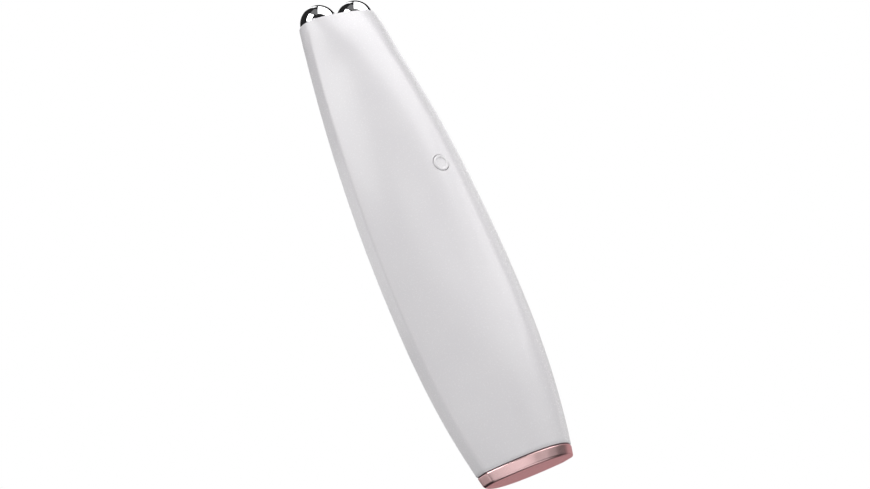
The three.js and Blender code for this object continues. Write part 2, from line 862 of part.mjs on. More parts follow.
// A lead from the board's front, over its upper edge and to the foot of a contact spring.
// The route is given by its share of the way in X and Y from board to spring, and by its height.
function headLead(side) {
  const springFoot = axleFoot - springRise;
  const rise = springFoot - boardHigh;
  const [startX, endX] = [headLeadX, ballSpacing / 2];
  const startY = -boardFront - leadRadius - leadRoom;
  const endY = -chassisFront - springThickness - leadRadius - 2 * leadRoom;
  const route = [
    [0, 0, boardHigh - leadJoint],
    [0.15, 0, boardHigh + 0.15 * rise],
    [0.65, 0.6, boardHigh + 0.5 * rise],
    [1, 1, springFoot + leadJoint / 3],
    [1, 1, springFoot + leadJoint],
  ];
  return lead(route.map(([shareX, shareY, height]) => [
    side * (startX + shareX * (endX - startX)),
    startY + shareY * (endY - startY),
    height,
  ]));
}

// A lead from one of the cell's tabs, through its notch in the chassis and along to the board's back
function cellLead(notch) {
  const end = THREE.MathUtils.clamp(notch + leadRise, boardLow + leadJoint, boardHigh - leadJoint);
  const rise = end - notch;
  const clear = leadRadius + leadRoom;
  return lead([
    [tabHalfWidth + clear, cellTabFront + leadEase, notch],
    [cellLeadX, -chassisBack + leadEase, notch],
    [cellLeadX, -chassisFront - leadEase, notch],
    [cellLeadX, -chassisFront - clear, notch + rise / 3],
    [cellLeadX, -boardBack + clear, notch + 2 * rise / 3],
    [cellLeadX, -boardBack + clear, end],
  ]);
}

const model = new THREE.Group();

function addPiece(group, name, solid, finish) {
  const { vertProperties, triVerts } = solid.getMesh();
  const geometry = new THREE.BufferGeometry();
  geometry.setAttribute('position', new THREE.Float32BufferAttribute(vertProperties, 3));
  geometry.setIndex(Array.from(triVerts));
  geometry.computeVertexNormals();
  const mesh = new THREE.Mesh(geometry, new THREE.MeshStandardMaterial(finishes[finish]));
  mesh.name = name;
  group.add(mesh);
  return mesh;
}

function addGroup() {
  const group = new THREE.Group();
  model.add(group);
  return group;
}

const housing = addGroup();
const shell = bodyShell();
addPiece(housing, 'front_shell', frontShell(shell), 'shell');
addPiece(housing, 'rear_shell', rearShell(shell), 'shell');
addPiece(housing, 'end_cap', endCap(), 'roseGold');
addPiece(housing, 'cap_gasket', capGasket(), 'darkRubber');
addPiece(housing, 'base_plug', basePlug(), 'greyPlastic');

const head = addGroup();
addPiece(head, 'head_cradle', headCradle(), 'shell');
addPiece(head, 'head_seal', headSeal(), 'darkRubber');
for (const [name, side] of [['left', -1], ['right', 1]]) {
  const place = side * ballSpacing / 2;
  addPiece(head, `${name}_ball`, ball(), 'chrome').position.x = place;
  addPiece(head, `${name}_bush`, bush(), 'brass').position.x = place;
  addPiece(head, `${name}_axle`, axle(), 'steel').position.x = place;
  addPiece(head, `${name}_contact_spring`, contactSpring(), 'brass').position.x = place;
  addPiece(head, `${name}_lead`, headLead(side), side < 0 ? 'redLead' : 'blackLead');
}

const control = addGroup();
addPiece(control, 'button_cap', buttonCap(), 'shell');
addPiece(control, 'button_guide', buttonGuide(), 'foam');
addPiece(control, 'switch_body', switchBody(), 'blackPlastic');
addPiece(control, 'switch_plunger', switchPlunger(), 'blackPlastic');
addPiece(control, 'main_board', mainBoard(), 'board');
addPiece(control, 'boost_coil', coil(), 'copper');
const boardParts = [
  ['control_chip', chipSize, chipSize, chipThickness, -chipDrop, 'blackPlastic'],
  ['output_capacitor', capacitorWidth, capacitorLength, capacitorThickness, capacitorRise, 'amberFilm'],
  ['status_lamp', lampSize, lampSize, lampThickness, -lampDrop, 'lens'],
];
for (const [name, width, tall, thick, rise, finish] of boardParts) {
  addPiece(control, name, boardPart(width, tall, thick, buttonHeight + rise), finish);
}

const frame = addGroup();
addPiece(frame, 'chassis', chassis(), 'greyPlastic');

const power = addGroup();
addPiece(power, 'battery_cell', cell(), 'cellWrap');
addPiece(power, 'battery_pad', cellPad(), 'foam');
addPiece(power, 'battery_tab_plus', cellTab(cellTop + restGap), 'steel');
addPiece(power, 'battery_tab_minus', cellTab(cellLow - restGap - tabThickness), 'steel');
addPiece(power, 'battery_lead_plus', cellLead(plusNotch), 'redLead');
addPiece(power, 'battery_lead_minus', cellLead(minusNotch), 'blackLead');
addPiece(power, 'charge_board', chargeBoard(), 'board');
addPiece(power, 'charge_socket', chargeSocket(), 'steel');
addPiece(power, 'socket_tongue', socketTongue(), 'blackPlastic');
addPiece(power, 'charge_ribbon', chargeRibbon(), 'amberFilm');

// A screw turned about X from standing on its head, with the head's underside at a depth and height
function addScrew(name, length, x, y, height, turn) {
  const piece = addPiece(fasteners, name, screw(length), 'steel');
  piece.position.set(x, y, height);
  piece.rotation.x = turn;
}

const fasteners = addGroup();
const behindChassis = -chassisBack + faceGap;
const quarterTurn = Math.PI / 2;
const chassisScrewNames = ['lower_left', 'lower_right', 'upper_left', 'upper_right'];
chassisScrewPlaces.forEach(([x, height], index) => {
  const name = `chassis_screw_${chassisScrewNames[index]}`;
  addScrew(name, chassisScrewLength, x, behindChassis, height, quarterTurn);
});
['lower', 'upper'].forEach((name, index) => {
  addScrew(`head_screw_${name}`, headScrewLength, 0, behindChassis, headScrewHeights[index], quarterTurn);
  const beforeBoard = -boardFront - faceGap;
  addScrew(`board_screw_${name}`, boardScrewLength, 0, beforeBoard, boardScrewHeights[index], -quarterTurn);
});
['left', 'right'].forEach((name, index) => {
  const seat = shellBase + baseScrewSeat - faceGap;
  addScrew(`base_screw_${name}`, baseScrewLength, bothSides[index] * baseScrewX, 0, seat, 0);
});

export default model;
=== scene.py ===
"""Microcurrent face-lift pen: smooth outer pieces, finishes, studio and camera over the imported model."""
import math

import bmesh
import bpy
import numpy as np
from mathutils import Matrix, Vector


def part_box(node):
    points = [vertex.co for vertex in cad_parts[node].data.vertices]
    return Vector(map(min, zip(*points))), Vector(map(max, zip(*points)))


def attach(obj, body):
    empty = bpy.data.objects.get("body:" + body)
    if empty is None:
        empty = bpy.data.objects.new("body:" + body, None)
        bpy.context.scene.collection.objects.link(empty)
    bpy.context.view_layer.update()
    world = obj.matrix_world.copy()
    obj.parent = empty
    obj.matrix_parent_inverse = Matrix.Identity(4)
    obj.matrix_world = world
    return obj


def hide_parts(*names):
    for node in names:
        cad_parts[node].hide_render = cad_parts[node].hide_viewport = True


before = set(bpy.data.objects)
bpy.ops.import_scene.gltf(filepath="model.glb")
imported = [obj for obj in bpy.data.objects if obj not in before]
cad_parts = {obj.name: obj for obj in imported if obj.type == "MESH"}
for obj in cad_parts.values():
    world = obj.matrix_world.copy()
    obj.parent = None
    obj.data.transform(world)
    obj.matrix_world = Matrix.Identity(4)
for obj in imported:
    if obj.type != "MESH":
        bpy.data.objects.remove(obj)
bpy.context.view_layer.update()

MM = 0.001

# Body outline, in millimetres: half width at the side band's edge, and depth from the middle plane
BODY_LENGTH = 130
BASE_HALF_WIDTH = 13.25
BELLY_HALF_WIDTH = 19.05
MOUTH_HALF_WIDTH = 11.1
WIDEST_HEIGHT = 51.5
LOWER_WIDTH_POWER = 2.5
UPPER_WIDTH_POWER = 1.9
BASE_DEPTH = 10.25
FRONT_BELLY_DEPTH = 17.3
BACK_BELLY_DEPTH = 15.6
MOUTH_DEPTH = 7
DEEPEST_HEIGHT = 54
LOWER_DEPTH_POWER = 2.4
UPPER_DEPTH_POWER = 3
BAND_EDGE = 2.1
MOUTH_ROUNDING = 17
MOUTH_DIP = 0.88
DIP_LENGTH = 6.3

# Casing: SKIN keeps the smooth surfaces a hair inside the faceted solids' box
SKIN = 0.02
WALL = 1.5
THINNEST_WALL = 0.03
FOLD = 0.4
RIM_ROUNDING = 0.3
SEAM_GAP = 0.1
SEAM_ROUNDING = 0.1
SEAM_NEAR = 1.5 * SEAM_ROUNDING
SEAM_STOP = 3 * SEAM_ROUNDING

# Holes in the casing: how far the window that is cut in the grid round each one reaches across and up
# from its middle, how far it stays from the side bands, and the bevel of the hole's edges
BUTTON_WINDOW = (3.6, 3.6)
PORT_WINDOW = (6.6, 3.4)
BAND_MARGIN = 1
HOLE_BEVEL = 0.08

# Cap and gasket
CAP_HEIGHT = 2.8
CAP_FLOOR = 1.2
CAP_WALL = 1.8
CAP_EDGE_RADIUS = 0.55
CAP_CHAMFER = 0.2
CAP_CHAMFER_ROUNDING = 0.01
CAP_INNER_CHAMFER = 0.1
SHELL_BASE = 3.1
GASKET_INSET = 0.4
GASKET_WIDTH = 1
GASKET_BULGE = 0.04

# Balls
BALL_RADIUS = 5.1
BALL_SKIN = 0.005
BALL_X = 5.85
BALL_HEIGHT = 129.86
BALL_CLEARANCE = 0.25
BORE_RADIUS = 2.05
BORE_TOP = 129.46
BORE_CHAMFER = 0.1

# Button
BUTTON_HEIGHT = 78.93
BUTTON_RADIUS = 2.15
BUTTON_CLEARANCE = 0.15
BUTTON_PROUD = 0.15
DISC_RADIUS = 1.32
DISC_RECESS = 0.25
DISC_INNER_RING = 0.5
DISC_FLAT_END = 0.12
DISC_FILLET = 0.1
DISC_FILLET_INSET = 0.04
RING_MIDDLE = 1.78
RING_HALF_FLAT = 0.08
RING_ROUNDING = 0.3
FLANGE_RADIUS = 2.9
FLANGE_THICKNESS = 0.7
FLANGE_SETBACK = 2.4
STEM_RADIUS = 1.2
STEM_LENGTH = 1.67
BUTTON_CHAMFER = 0.1

# Charging port
PORT_CLEARANCE = 0.3
SOCKET_WALL = 0.3
SOCKET_BACK_WALL = 0.6
SOCKET_LIP = 0.1
LIP_BEND = 0.3 * SOCKET_LIP

# Fineness of the grids: steps in a run, distances between rows in millimetres, and rings as shares of the
# way across a face
LENS_STEPS = 84
BAND_STEPS = 4
FOLD_STEPS = 4
TURN_STEPS = 96
ROUND_STEPS = 6
FILLET_STEPS = 3
BALL_STEPS = 60
ROW_SPACING = 1
LOWEST_ROW = 0.12
HOLE_ROW_STEPS = 16
HOLE_ROW_GAP = 0.3
RIM_ROW_STEPS = 8
RIM_ROW_REACH = 2
HOLE_RINGS = (0.3, 0.6, 0.85, 1)
CAP_UNDER_RINGS = (0, 0.3, 0.6, 0.9, 0.985)
CAP_FLOOR_RINGS = (1, 0.98, 0.6, 0)
CAP_EDGE_STEPS = 8
CAP_HOLD = 0.05

# Guards against a division by zero, the distance in metres at which points merge, and the angle in
# degrees past which an edge stays sharp
LEAST_MOVE_SQUARED = 1e-12
LEAST_SLOPE = 1e-9
MERGE_DISTANCE = 1e-8
SHARP_ANGLE = 35


# Sections lie in x, across the pen, and y, from front to back. facing is -1 for the front and 1 for the
# back, side is -1 for the left and 1 for the right, and inset is how far a surface lies inside the outline.
def swell(height, low, middle, high, middle_height, lower_power, upper_power):
    """The middle value, less a power of the share of the way down to the base or up to the mouth."""
    below = np.clip((middle_height - height) / middle_height, 0, None)
    above = np.clip((height - middle_height) / (BODY_LENGTH - middle_height), 0, None)
    return middle - (middle - low) * below**lower_power - (middle - high) * above**upper_power


def half_width(height):
    """From the middle plane to a side band's edge: a swell from base to belly to mouth."""
    return swell(
        height, BASE_HALF_WIDTH, BELLY_HALF_WIDTH, MOUTH_HALF_WIDTH,
        WIDEST_HEIGHT, LOWER_WIDTH_POWER, UPPER_WIDTH_POWER,
    )


def depth(height, facing):
    """From the middle plane to the front or the back: a swell from base to belly to mouth."""
    belly = FRONT_BELLY_DEPTH if facing < 0 else BACK_BELLY_DEPTH
    return swell(
        height, BASE_DEPTH, belly, MOUTH_DEPTH,
        DEEPEST_HEIGHT, LOWER_DEPTH_POWER, UPPER_DEPTH_POWER,
    )


def roundness(height):
    """Three squares less two cubes of the share climbed of the last millimetres below the mouth."""
    share = np.clip((height - BODY_LENGTH + MOUTH_ROUNDING) / MOUTH_ROUNDING, 0, 1)
    return share**2 * (3 - 2 * share)


def lens(height, inset, across, facing):
    """Points of the front or back: a parabola between the bands' edges, an ellipse near the mouth."""
    half = half_width(height) - inset
    deep = depth(height, facing) - inset
    mix = roundness(height)
    edge_turn = np.arccos(BAND_EDGE / deep)
    reach = half / np.sin(edge_turn)
    x = (1 - mix) * half * across + mix * reach * np.sin(across * edge_turn)
    flat = BAND_EDGE + (deep - BAND_EDGE) * (1 - across**2)
    y = (1 - mix) * flat + mix * deep * np.cos(across * edge_turn)
    return np.stack([x, facing * y], -1)


def side_band(height, inset, along, side):
    """Points of a side band: straight between its edges, bulging to the mouth's ellipse near the mouth."""
    half = half_width(height) - inset
    front = depth(height, -1) - inset
    back = depth(height, 1) - inset
    deep = front + (back - front) * (along + 1) / 2
    mix = roundness(height)
    bulge = np.sqrt((1 - (along * BAND_EDGE / deep)**2) / (1 - (BAND_EDGE / deep)**2))
    x = half * (1 - mix + mix * bulge)
    return np.stack([side * x, along * BAND_EDGE + 0 * x], -1)


def fold(before, height, inset, side, facing, after):
    """A quadratic bend from one run's end to the next run's start, drawn towards the band's edge."""
    x = side * (half_width(height) - inset)
    corner = np.stack([x, facing * BAND_EDGE + 0 * x], -1)
    share = np.linspace(0, 1, FOLD_STEPS + 1)[1:-1, None]
    return (1 - share)**2 * before[:, -1:] + 2 * share * (1 - share) * corner + share**2 * after[:, :1]


def lens_run(height, inset, facing):
    """The front or back in even steps, up to a fold's length from the bands."""
    reach = 1 - FOLD / (half_width(height) - inset)
    across = -facing * reach * np.linspace(-1, 1, LENS_STEPS + 1)
    return lens(height, inset, across, facing)


def band_run(height, inset, side, start, end):
    """A side band in even steps, between two shares of the way from its middle to its edges."""
    along = np.linspace(start, end, BAND_STEPS + 1)[None, :]
    return side_band(height, inset, along, side)


def whole_outline(height, inset):
    """The closed section: front, right band, back and left band, with a fold between each two."""
    reach = 1 - FOLD / BAND_EDGE
    front = lens_run(height, inset, -1)
    right = band_run(height, inset, 1, -reach, reach)
    back = lens_run(height, inset, 1)
    left = band_run(height, inset, -1, reach, -reach)
    return np.concatenate([
        front, fold(front, height, inset, 1, -1, right),
        right, fold(right, height, inset, 1, 1, back),
        back, fold(back, height, inset, -1, 1, left),
        left, fold(left, height, inset, -1, -1, front),
    ], 1)


def seam_turn(height, inset, side, along):
    """Two points that carry a band to the seam, the last one drawn in to round the seam's edge."""
    near = side_band(height, inset, np.array([[along - SEAM_ROUNDING / BAND_EDGE]]), side)
    last = side_band(height, inset + SEAM_ROUNDING, np.array([[along]]), side)
    return np.concatenate([near, last], 1)


def front_outline(height, inset):
    """The front half's open section: left band from the seam, front, and right band to the seam."""
    reach = 1 - FOLD / BAND_EDGE
    seam = 1 - SEAM_GAP / 2 / BAND_EDGE
    stop = seam - SEAM_STOP / BAND_EDGE
    left = band_run(height, inset, -1, stop, -reach)
    front = lens_run(height, inset, -1)
    right = band_run(height, inset, 1, -reach, stop)
    return np.concatenate([
        seam_turn(height, inset, -1, seam)[:, ::-1], left,
        fold(left, height, inset, -1, -1, front), front,
        fold(front, height, inset, 1, -1, right), right,
        seam_turn(height, inset, 1, seam),
    ], 1)


def rear_outline(height, inset):
    """The rear half's open section: the back from the right seam to the left one, its edges rounded."""
    half = half_width(height) - inset
    steps = np.linspace(-1, 1, LENS_STEPS + 1)[None, :]
    back = lens(height, inset, -(1 - SEAM_STOP / half) * steps, 1)
    ends = []
    for side in (1, -1):
        near = lens(height, inset, side * (1 - SEAM_NEAR / half), 1)
        last = lens(height, inset + SEAM_ROUNDING, side * (1 - SEAM_GAP / 2 / half), 1)
        ends.append(np.concatenate([last, near], 1))
    outline = np.concatenate([ends[0], back, ends[1][:, ::-1]], 1)
    outline[..., 1] = np.maximum(outline[..., 1], BAND_EDGE + SEAM_GAP / 2)
    return outline


def rim_drop(height, x):
    """How far the mouth's rim dips: a parabola across the mouth, fading in over the last millimetres."""
    reach = MOUTH_HALF_WIDTH / math.sin(math.acos(BAND_EDGE / MOUTH_DEPTH))
    share = np.clip((height - BODY_LENGTH + DIP_LENGTH) / DIP_LENGTH, 0, 1)
    return share * MOUTH_DIP * (1 - np.clip(x / reach, -1, 1)**2)


def body_points(outline, rows):
    """Rings of an outline at (height, inset) rows, lowered by the mouth's dip."""
    height = rows[:, :1]
    flat = outline(height, rows[:, 1:])
    z = height - rim_drop(height, flat[..., 0])
    return np.concatenate([flat, z[..., None]], -1)


def clear_of_balls(points, outer):
    """Moves a wall's inner points straight towards its outer ones until they leave the balls' spaces.

    The share of the way is the larger root of a quadratic: the distance from a ball's middle, squared, along
    the straight line, equals the space's radius squared.
    """
    move = outer - points
    share = np.zeros(points.shape[:-1])
    for side in (-1, 1):
        offset = points - np.array([side * BALL_X, 0, BALL_HEIGHT])
        square = np.sum(move**2, -1) + LEAST_MOVE_SQUARED
        slope = np.sum(move * offset, -1)
        rest = np.sum(offset**2, -1) - (BALL_RADIUS + BALL_CLEARANCE)**2
        root = np.sqrt(np.clip(slope**2 - square * rest, 0, None))
        share = np.maximum(share, np.where(rest < 0, (root - slope) / square, 0))
    return points + np.clip(share, 0, 1)[..., None] * move


def lens_depth(x, height, inset, facing):
    """The y of a point of the front or back, by the parabola alone, as it is below the rounded mouth."""
    across = x / (half_width(height) - inset)
    deep = depth(height, facing) - inset
    return facing * (BAND_EDGE + (deep - BAND_EDGE) * (1 - across**2))


def round_edge(angle, radius):
    """Where a ray from the middle meets a circle."""
    return np.stack([radius * np.cos(angle), radius * np.sin(angle)], -1)


def stadium_edge(angle, half_length, radius):
    """Where a ray from the middle meets a stadium: on a straight side, or else on an end's half circle."""
    straight = half_length - radius
    ray_x, ray_z = np.cos(angle), np.sin(angle)
    flat = radius / np.maximum(np.abs(ray_z), LEAST_SLOPE)
    bent = straight * np.abs(ray_x) + np.sqrt(np.clip(radius**2 - (straight * ray_z)**2, 0, None))
    length = np.where(flat * np.abs(ray_x) <= straight, flat, bent)
    return np.stack([length * ray_x, length * ray_z], -1)


def numbered(points):
    """Vertex numbers of a grid of points, row by row."""
    rows, columns = points.shape[:2]
    return np.arange(rows * columns).reshape(rows, columns)


def grid_faces(index):
    """Quads between neighbouring rows and columns of vertex numbers."""
    corners = [index[:-1, :-1], index[:-1, 1:], index[1:, 1:], index[1:, :-1]]
    return np.stack(corners, -1).reshape(-1, 4)


def ring_faces(index):
    """Quads between rows of vertex numbers that each close on themselves."""
    return grid_faces(np.concatenate([index, index[:, :1]], 1))


def add_piece(name, points, faces, body, node, material, sharp=SHARP_ANGLE):
    """Makes a closed piece from points in millimetres, merges its doubles and turns its faces outwards."""
    mesh = bpy.data.meshes.new(name)
    mesh.from_pydata((points.reshape(-1, 3) * MM).tolist(), [], faces.tolist())
    work = bmesh.new()
    work.from_mesh(mesh)
    bmesh.ops.remove_doubles(work, verts=work.verts, dist=MERGE_DISTANCE)
    bmesh.ops.recalc_face_normals(work, faces=work.faces)
    work.to_mesh(mesh)
    work.free()
    mesh.polygons.foreach_set("use_smooth", [True] * len(mesh.polygons))
    mesh.set_sharp_from_angle(angle=math.radians(sharp))
    mesh.materials.append(material)
    piece = bpy.data.objects.new(name, mesh)
    bpy.context.scene.collection.objects.link(piece)
    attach(piece, body)
    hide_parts(node)


def shell_rows(hole_height, hole_reach):
    """Heights up the shell a millimetre apart, and closer together beside the hole and below the rim."""
    top = BODY_LENGTH - RIM_ROUNDING
    beside = np.linspace(hole_height - hole_reach, hole_height + hole_reach, HOLE_ROW_STEPS + 1)
    spread = np.arange(SHELL_BASE + ROW_SPACING, top - RIM_ROW_REACH - ROW_SPACING / 2, ROW_SPACING)
    spread = spread[np.abs(spread - hole_height) > hole_reach + HOLE_ROW_GAP]
    below_rim = np.linspace(top - RIM_ROW_REACH, top, RIM_ROW_STEPS + 1)
    return np.sort(np.concatenate([[SHELL_BASE, SHELL_BASE + LOWEST_ROW], spread, beside, below_rim]))


def shell_profile(heights):
    """A closed walk of (height, inset): up the outside, over the rounded rim and down the inside."""
    turn = np.linspace(0, np.pi / 2, ROUND_STEPS + 1)[1:]
    over = BODY_LENGTH - RIM_ROUNDING * (1 - np.sin(turn))
    drawn = RIM_ROUNDING * (1 - np.cos(turn))
    outside = np.stack([heights, np.full_like(heights, SKIN)], -1)
    outside[0, 1] += SEAM_ROUNDING
    rim_out = np.stack([over, SKIN + drawn], -1)
    rim_in = np.stack([over, WALL - drawn], -1)[::-1]
    inside = np.stack([heights, np.full_like(heights, WALL)], -1)[::-1]
    return np.concatenate([outside, rim_out, rim_in, inside])


def window_limits(points, heights, hole_height, window):
    """First and last row and column of the window that is cut round a hole."""
    low = int(np.argmin(np.abs(heights - hole_height + window[1])))
    high = int(np.argmin(np.abs(heights - hole_height - window[1])))
    level = points[(low + high) // 2]
    off_the_bands = np.abs(level[:, 1]) > BAND_EDGE + BAND_MARGIN
    inside = np.nonzero((np.abs(level[:, 0]) < window[0]) & off_the_bands)[0]
    return (low, high), (int(inside[0]), int(inside[-1]))


def window_border(index, rows, columns):
    """Vertex numbers round a window of the grid, in order."""
    (low, high), (left, right) = rows, columns
    return np.concatenate([
        index[low, left:right], index[low:high, right],
        index[high, right:left:-1], index[high:low:-1, left],
    ])


def hole_tube(border_points, hole, hole_height, facing):
    """Rings from a window's border on the outside, through the hole with its edges broken, to the inside."""
    x, z = border_points[:, 0], border_points[:, 2]
    angle = np.arctan2(z - hole_height, x)
    middle = np.array([0, hole_height])
    wide = hole(angle, HOLE_BEVEL) + middle
    true = hole(angle, 0) + middle
    start = np.stack([x, z], -1)
    narrowing = [start * (1 - share) + wide * share for share in HOLE_RINGS]
    rings = [(ring, SKIN, 0) for ring in narrowing]
    rings += [(true, SKIN, HOLE_BEVEL), (true, WALL, -HOLE_BEVEL)]
    rings += [(ring, WALL, 0) for ring in narrowing[::-1]]
    inward = -facing
    return np.stack([
        np.stack([
            ring[:, 0],
            lens_depth(ring[:, 0], ring[:, 1], inset, facing) + inward * shift,
            ring[:, 1],
        ], -1)
        for ring, inset, shift in rings
    ])


def wall_faces(index, rows, columns):
    """Quads of the profile's grid less its window, outside and inside, and of the base and both seams."""
    count, width = index.shape
    (low, high), (left, right) = rows, columns
    kept = np.ones((count - 1, width - 1), bool)
    kept[low:high, left:right] = False
    kept[count - 1 - high:count - 1 - low, left:right] = False
    sides = grid_faces(index)[kept.ravel()]
    base = grid_faces(np.stack([index[-1], index[0]]))
    half = count // 2
    seams = [grid_faces(np.stack([index[:half, end], index[:half - 1:-1, end]])) for end in (0, -1)]
    return np.concatenate([sides, base, *seams])


def half_shell(outline, facing, hole, hole_height, window):
    """Points and faces of one shell half: a grid of its profile round its outline, pierced by one hole."""
    heights = shell_rows(hole_height, window[1])
    profile = shell_profile(heights)
    thin = profile.copy()
    thin[:, 1] = np.minimum(profile[:, 1], SKIN + THINNEST_WALL)
    points = clear_of_balls(body_points(outline, profile), body_points(outline, thin))
    index = numbered(points)
    rows, columns = window_limits(points, heights, hole_height, window)
    outer = window_border(index, rows, columns)
    inner = window_border(index[::-1], rows, columns)
    points = points.reshape(-1, 3)
    tube = hole_tube(points[outer], hole, hole_height, facing)
    through = ring_faces(np.concatenate([outer[None], index.size + numbered(tube), inner[None]]))
    faces = np.concatenate([wall_faces(index, rows, columns), through])
    return np.concatenate([points, tube.reshape(-1, 3)]), faces


def make_front_shell(material):
    """The front half, pierced by the button's round hole."""
    radius = BUTTON_RADIUS + BUTTON_CLEARANCE
    points, faces = half_shell(
        front_outline, -1, lambda angle, grow: round_edge(angle, radius + grow),
        BUTTON_HEIGHT, BUTTON_WINDOW)
    add_piece("front_shell_smooth", points, faces, "body", "front_shell", material)


def socket_section():
    """The charging socket's half length, end radius and height of its middle, from its node."""
    low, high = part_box("charge_socket")
    return (high.x - low.x) / 2 / MM, (high.z - low.z) / 2 / MM, (low.z + high.z) / 2 / MM


def make_rear_shell(material):
    """The rear half, pierced by the charging port's stadium, a clearance wider than the socket."""
    half_length, radius, middle = socket_section()
    half_length, radius = half_length + PORT_CLEARANCE, radius + PORT_CLEARANCE
    points, faces = half_shell(
        rear_outline, 1, lambda angle, grow: stadium_edge(angle, half_length + grow, radius + grow),
        middle, PORT_WINDOW)
    add_piece("rear_shell_smooth", points, faces, "body", "rear_shell", material)


def level_rings(rows):
    """Points and faces of the whole outline at rows of (height, inset, share of the way from the middle)."""
    height, inset, share = np.array(rows).T[..., None]
    flat = whole_outline(height, inset) * share[..., None]
    z = np.broadcast_to(height[..., None], flat[..., :1].shape)
    points = np.concatenate([flat, z], -1)
    return points, ring_faces(numbered(points))


def make_end_cap(material):
    """Rings from the underside's middle out, round the edge, up the wall, over the rim and to the floor."""
    radius = CAP_EDGE_RADIUS
    turn = np.linspace(0, np.pi / 2, CAP_EDGE_STEPS + 1)
    under = [(0, SKIN + radius, share) for share in CAP_UNDER_RINGS]
    edge = [(radius * (1 - math.cos(a)), SKIN + radius * (1 - math.sin(a)), 1) for a in turn]
    wall_top = CAP_HEIGHT - CAP_CHAMFER
    wall = [(z, SKIN, 1) for z in (radius + CAP_HOLD, wall_top - 2 * CAP_HOLD, wall_top - CAP_HOLD)]
    rim = [
        (wall_top, SKIN + CAP_CHAMFER_ROUNDING, 1), (CAP_HEIGHT, SKIN + CAP_CHAMFER, 1),
        (CAP_HEIGHT, CAP_WALL - CAP_INNER_CHAMFER, 1), (CAP_HEIGHT - CAP_INNER_CHAMFER, CAP_WALL, 1),
    ]
    floor = [(CAP_FLOOR, CAP_WALL, share) for share in CAP_FLOOR_RINGS]
    points, faces = level_rings(under + edge + wall + rim + floor)
    add_piece("end_cap_smooth", points, faces, "body", "end_cap", material, sharp=50)


def make_cap_gasket(material):
    """A flat ring between cap and shells, with its outer edge slightly bulged."""
    outer, inner = GASKET_INSET + GASKET_BULGE, GASKET_INSET + GASKET_WIDTH
    points, faces = level_rings([
        (CAP_HEIGHT, inner, 1), (CAP_HEIGHT, outer, 1), ((CAP_HEIGHT + SHELL_BASE) / 2, GASKET_INSET, 1),
        (SHELL_BASE, outer, 1), (SHELL_BASE, inner, 1), (CAP_HEIGHT, inner, 1),
    ])
    add_piece("cap_gasket_smooth", points, faces, "body", "cap_gasket", material)


def turned(profile, centre, axis="z"):
    """A profile of (radius, way along the axis) turned once round an axis that points up or forward."""
    angle = np.linspace(0, 2 * np.pi, TURN_STEPS, endpoint=False)
    radius, way = profile[:, :1], profile[:, 1:]
    first, second = radius * np.cos(angle), radius * np.sin(angle)
    level = np.broadcast_to(way, first.shape)
    spread = (first, second, level) if axis == "z" else (first, -level, second)
    points = np.stack(spread, -1) + np.array(centre)
    return points, ring_faces(numbered(points))


def make_ball(node, x, material):
    """A sphere with a blind bore from below, as a turned profile from the bore's top round to the crown."""
    radius = BALL_RADIUS - BALL_SKIN
    bottom = -math.sqrt(radius**2 - BORE_RADIUS**2)
    arc = np.linspace(math.atan2(bottom, BORE_RADIUS), np.pi / 2, BALL_STEPS + 1)
    sphere = np.stack([radius * np.cos(arc), radius * np.sin(arc)], -1)
    top = BORE_TOP - BALL_HEIGHT
    bore = np.array([(0, top), (BORE_RADIUS - BORE_CHAMFER, top), (BORE_RADIUS, top - BORE_CHAMFER)])
    profile = np.concatenate([bore, sphere])
    profile[-1, 0] = 0
    points, faces = turned(profile, (x, 0, BALL_HEIGHT))
    add_piece(f"{node}_smooth", points, faces, node, node, material)


def arc_points(centre, radius, start, end, steps):
    """Points of an arc between two angles in degrees, as (radius from the axis, way along it)."""
    angle = np.radians(np.linspace(start, end, steps + 1))
    return np.stack([centre[0] + radius * np.cos(angle), centre[1] + radius * np.sin(angle)], -1)


def button_face(disc, front):
    """Profile of the button's face: flat disc, fillet, and the raised ring with both its edges rounded."""
    fillet_middle = (DISC_RADIUS - DISC_FILLET_INSET, disc + DISC_FILLET)
    bend = front - RING_ROUNDING
    return np.concatenate([
        [(0, disc), (DISC_INNER_RING, disc), (DISC_RADIUS - DISC_FLAT_END, disc)],
        arc_points(fillet_middle, DISC_FILLET, -90, -20, FILLET_STEPS),
        arc_points((RING_MIDDLE - RING_HALF_FLAT, bend), RING_ROUNDING, 160, 90, ROUND_STEPS),
        arc_points((BUTTON_RADIUS - RING_ROUNDING, bend), RING_ROUNDING, 78, 0, ROUND_STEPS),
    ])


def make_button(material):
    """Disc, raised rounded ring, side, flange and stem as one profile turned about the button's axis."""
    face = -float(lens_depth(0, BUTTON_HEIGHT, 0, -1))
    front = face + BUTTON_PROUD - SKIN
    flange = face - FLANGE_SETBACK
    under = flange - FLANGE_THICKNESS
    back = under - STEM_LENGTH
    cut = BUTTON_CHAMFER
    profile = np.concatenate([
        button_face(front - DISC_RECESS, front),
        [(BUTTON_RADIUS, flange + cut), (FLANGE_RADIUS - cut, flange), (FLANGE_RADIUS, flange - cut)],
        [(FLANGE_RADIUS, under), (STEM_RADIUS, under)],
        [(STEM_RADIUS, back + cut), (STEM_RADIUS - cut, back), (0, back)],
    ])
    points, faces = turned(profile, (0, 0, BUTTON_HEIGHT), axis="y")
    add_piece("button_smooth", points, faces, "button", "button_cap", material, sharp=40)


